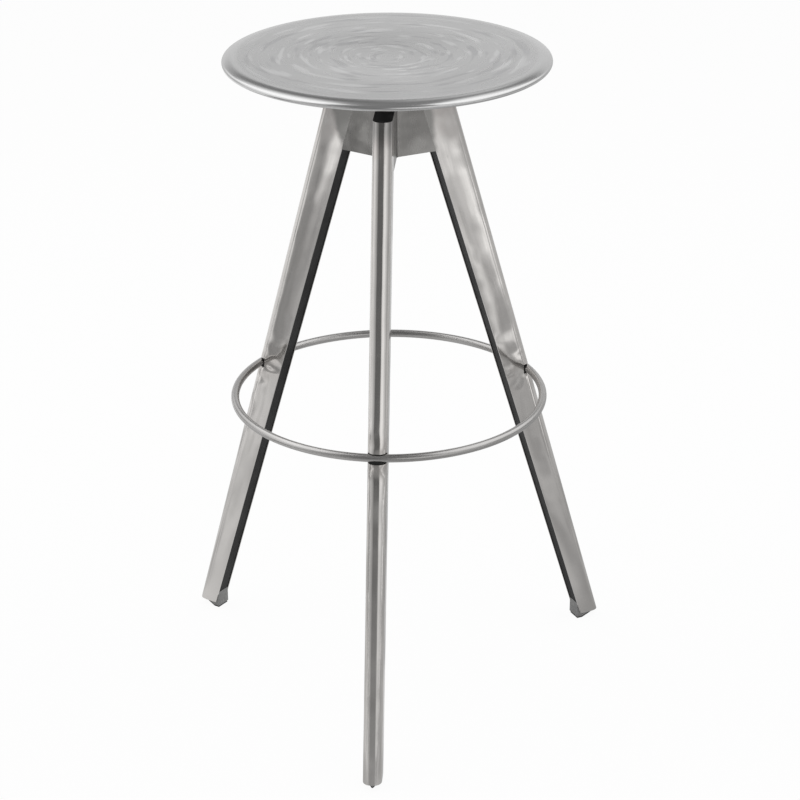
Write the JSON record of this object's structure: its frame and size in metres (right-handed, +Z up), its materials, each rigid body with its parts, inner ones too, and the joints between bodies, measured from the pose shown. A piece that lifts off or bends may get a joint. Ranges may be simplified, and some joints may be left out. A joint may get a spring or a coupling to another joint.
{
  "type": "bar stool",
  "caption": "Tall bar stool: round satin-steel seat with a rolled rim, turning on a hub of splayed channel legs joined by a round foot ring.",
  "frame": {"origin": "on the floor, under the seat's turning axis", "axes": "+Z up along the seat's turning axis; -Y towards the front leg; +X to the right seen from the front"},
  "size_m": [0.4916, 0.4605, 0.748],
  "materials": {
    "leg_steel": "satin polished",
    "seat_steel": "brushed in rough circles",
    "ring_steel": "polished",
    "hub_steel": "satin polished",
    "inner_steel": "plain",
    "bearing_steel": "ground",
    "core_black": "matt black",
    "foot_grey": "matt grey",
    "pad_dark": "matt",
    "bush_white": "plain"
  },
  "bodies": {
    "base": {"leg_front": "leg_steel", "leg_left": "leg_steel", "leg_right": "leg_steel", "leg_core_front": "core_black", "leg_core_left": "core_black", "leg_core_right": "core_black", "foot_plug_front": "foot_grey", "foot_plug_left": "foot_grey", "foot_plug_right": "foot_grey", "foot_pad_front": "pad_dark", "foot_pad_left": "pad_dark", "foot_pad_right": "pad_dark", "foot_screws": "inner_steel", "foot_ring": "ring_steel", "hub_panel_right": "hub_steel", "hub_panel_back": "hub_steel", "hub_panel_left": "hub_steel", "hub_tube": "inner_steel", "hub_plate": "inner_steel", "upper_bush": "bush_white", "lower_bush": "bush_white", "lower_race": "bearing_steel"},
    "bearing_cage": {"ball_cage": "inner_steel", "bearing_balls": "bearing_steel"},
    "seat": {"upper_race": "bearing_steel", "swivel_plate": "inner_steel", "spindle": "inner_steel", "spindle_washer": "inner_steel", "spindle_clip": "inner_steel", "seat_dish": "inner_steel", "seat_screws": "inner_steel", "weld_nuts": "inner_steel", "seat_pan": "seat_steel"}
  },
  "joints": [
    {"name": "seat_swivel", "type": "hinge", "parent": "base", "child": "seat", "pos_m": [0, 0, 0.705], "axis": [0, 0, 1], "continuous": true},
    {"name": "cage_turn", "type": "hinge", "parent": "base", "child": "bearing_cage", "pos_m": [0, 0, 0.705], "axis": [0, 0, 1], "continuous": true}
  ],
  "couplings": [
    {"joint": "cage_turn", "follows": "seat_swivel", "ratio": 0.5}
  ]
}
